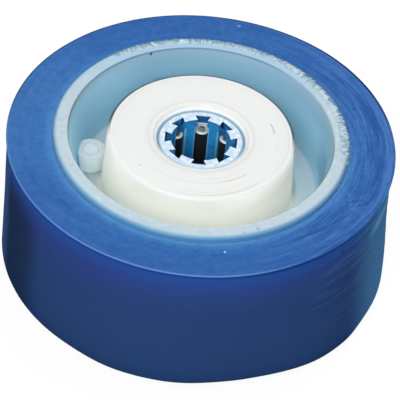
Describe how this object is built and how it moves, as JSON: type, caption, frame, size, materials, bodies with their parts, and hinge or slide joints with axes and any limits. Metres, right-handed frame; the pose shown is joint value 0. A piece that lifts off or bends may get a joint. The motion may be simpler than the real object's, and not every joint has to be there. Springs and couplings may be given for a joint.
{
  "type": "polyurethane trolley wheel",
  "caption": "Trolley wheel with a blue polyurethane tyre cast on a nylon wheel centre with hub, web and rim, and a caged roller bearing in the hub bore.",
  "frame": {"origin": "middle of the wheel, on its axle line and halfway along its width", "axes": "+Z along the axle line towards the side with the moulding boss and the tyre's lip, with the wheel lying on its side; +Y points at the first roller and +X is at right angles to it"},
  "size_m": [0.1, 0.1, 0.043],
  "materials": {
    "polyurethane": "satin",
    "nylon": "satin",
    "cage_plastic": "gloss",
    "roller_steel": "polished"
  },
  "bodies": {
    "wheel": {"tyre": "polyurethane", "wheel_centre": "nylon"},
    "cage": {"roller_cage": "cage_plastic"},
    "roller_1": {"roller_1": "roller_steel"},
    "roller_2": {"roller_2": "roller_steel"},
    "roller_3": {"roller_3": "roller_steel"},
    "roller_4": {"roller_4": "roller_steel"},
    "roller_5": {"roller_5": "roller_steel"},
    "roller_6": {"roller_6": "roller_steel"},
    "roller_7": {"roller_7": "roller_steel"},
    "roller_8": {"roller_8": "roller_steel"}
  },
  "joints": [
    {"name": "cage_turn", "type": "hinge", "parent": "wheel", "child": "cage", "pos_m": [0, 0, 0], "axis": [0, 0, 1], "continuous": true},
    {"name": "roller_1_spin", "type": "hinge", "parent": "cage", "child": "roller_1", "pos_m": [0, 0.0095, 0], "axis": [0, 0, 1], "continuous": true},
    {"name": "roller_2_spin", "type": "hinge", "parent": "cage", "child": "roller_2", "pos_m": [-0.00672, 0.00672, 0], "axis": [0, 0, 1], "continuous": true},
    {"name": "roller_3_spin", "type": "hinge", "parent": "cage", "child": "roller_3", "pos_m": [-0.0095, 0, 0], "axis": [0, 0, 1], "continuous": true},
    {"name": "roller_4_spin", "type": "hinge", "parent": "cage", "child": "roller_4", "pos_m": [-0.00672, -0.00672, 0], "axis": [0, 0, 1], "continuous": true},
    {"name": "roller_5_spin", "type": "hinge", "parent": "cage", "child": "roller_5", "pos_m": [0, -0.0095, 0], "axis": [0, 0, 1], "continuous": true},
    {"name": "roller_6_spin", "type": "hinge", "parent": "cage", "child": "roller_6", "pos_m": [0.00672, -0.00672, 0], "axis": [0, 0, 1], "continuous": true},
    {"name": "roller_7_spin", "type": "hinge", "parent": "cage", "child": "roller_7", "pos_m": [0.0095, 0, 0], "axis": [0, 0, 1], "continuous": true},
    {"name": "roller_8_spin", "type": "hinge", "parent": "cage", "child": "roller_8", "pos_m": [0.00672, 0.00672, 0], "axis": [0, 0, 1], "continuous": true}
  ],
  "couplings": [
    {"joint": "roller_1_spin", "follows": "cage_turn", "ratio": -5.75},
    {"joint": "roller_2_spin", "follows": "cage_turn", "ratio": -5.75},
    {"joint": "roller_3_spin", "follows": "cage_turn", "ratio": -5.75},
    {"joint": "roller_4_spin", "follows": "cage_turn", "ratio": -5.75},
    {"joint": "roller_5_spin", "follows": "cage_turn", "ratio": -5.75},
    {"joint": "roller_6_spin", "follows": "cage_turn", "ratio": -5.75},
    {"joint": "roller_7_spin", "follows": "cage_turn", "ratio": -5.75},
    {"joint": "roller_8_spin", "follows": "cage_turn", "ratio": -5.75}
  ]
}
